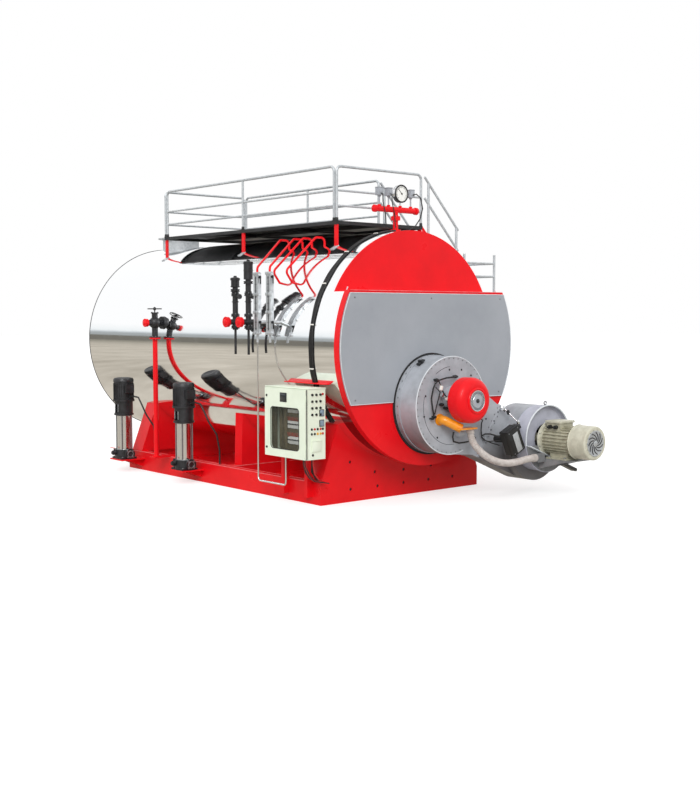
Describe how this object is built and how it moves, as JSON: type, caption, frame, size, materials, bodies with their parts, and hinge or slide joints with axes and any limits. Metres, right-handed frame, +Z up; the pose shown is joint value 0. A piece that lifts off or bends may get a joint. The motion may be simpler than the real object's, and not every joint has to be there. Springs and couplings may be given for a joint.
{
  "type": "industrial steam boiler",
  "caption": "Horizontal fire-tube steam boiler on a welded skid, with polished cladding, front burner and fan, feed pumps, level gauges, control cabinet and a roof walkway with stair.",
  "frame": {"origin": "on the ground under the shell's axis, at the middle saddle: the middle of the middle cross beam's underside", "axes": "+Z up, +Y along the shell from the burner end to the rear, +X to the right seen from the burner end"},
  "size_m": [3.578, 6.898, 3.7555],
  "materials": {
    "black_casting": "black enamel",
    "black_paint": "satin black",
    "black_plastic": "satin black",
    "bright_steel": "bright stainless",
    "burner_grey_paint": "satin light grey",
    "cabinet_paint": "satin cream-green",
    "clear_glass": "clear",
    "control_plastic": "gloss",
    "cream_paint": "satin cream",
    "galvanised_steel": "galvanised",
    "gasket_rubber": "matt black",
    "grey_panel_paint": "satin grey",
    "hose_plastic": "ribbed off-white",
    "inlet_paint": "satin pale grey",
    "orange_paint": "gloss orange",
    "polished_cladding": "mirror-polished stainless sheet",
    "red_paint": "gloss red"
  },
  "bodies": {
    "boiler": {"base_beams": "red_paint", "base_cross_beams": "red_paint", "blank_caps": "red_paint", "burner_elbow": "orange_paint", "burner_gasket": "gasket_rubber", "burner_hub": "burner_grey_paint", "burner_motor_cover": "red_paint", "burner_motor_stand": "burner_grey_paint", "burner_windbox": "burner_grey_paint", "cabinet_controls": "control_plastic", "cabinet_internals": "cabinet_paint", "cabinet_shell": "cabinet_paint", "cabinet_stand": "red_paint", "cable_bundle": "black_plastic", "cladding_shell": "polished_cladding", "damper_actuator": "black_plastic", "end_guard_rails": "galvanised_steel", "equipment_brackets": "red_paint", "fan_impeller": "black_casting", "fan_inlet": "inlet_paint", "fan_motor": "cream_paint", "fan_motor_cowl": "cream_paint", "fan_scroll": "burner_grey_paint", "feed_pipe": "red_paint", "feed_pump_castings": "black_casting", "feed_pump_motors": "black_casting", "feed_pump_sleeves": "bright_steel", "feed_pump_stays": "bright_steel", "feed_valve": "black_casting", "flue_outlet": "galvanised_steel", "front_door": "red_paint", "front_grey_panel": "grey_panel_paint", "front_saddle": "red_paint", "front_smokebox": "polished_cladding", "front_top_panel": "red_paint", "gauge_conduit": "bright_steel", "impulse_pipes": "red_paint", "instrument_manifold": "red_paint", "landing_floor": "galvanised_steel", "landing_guard": "galvanised_steel", "landing_posts": "red_paint", "level_columns": "black_casting", "level_gauges": "bright_steel", "motor_bracket": "burner_grey_paint", "pressure_gauge": "bright_steel", "pressure_switches": "burner_grey_paint", "primary_air_hose": "hose_plastic", "rear_access_cover": "red_paint", "rear_end_plate": "red_paint", "rear_saddles": "red_paint", "side_guard_rails": "galvanised_steel", "stair_hand_rails": "galvanised_steel", "stair_strings": "red_paint", "stair_treads": "galvanised_steel", "walkway_deck": "black_paint", "walkway_legs": "red_paint"},
    "cabinet_door": {"cabinet_door": "cabinet_paint", "cabinet_window": "clear_glass"},
    "feed_handwheel": {"feed_handwheel": "black_casting"}
  },
  "joints": [
    {"name": "cabinet_door_hinge", "type": "hinge", "parent": "boiler", "child": "cabinet_door", "pos_m": [-1.562, -2.058, 0.915], "axis": [0, 0, 1], "range_deg": [0, 110]},
    {"name": "feed_handwheel_turn", "type": "hinge", "parent": "boiler", "child": "feed_handwheel", "pos_m": [-1.4, 1.27, 2.147], "axis": [0, 0, 1], "continuous": true}
  ]
}
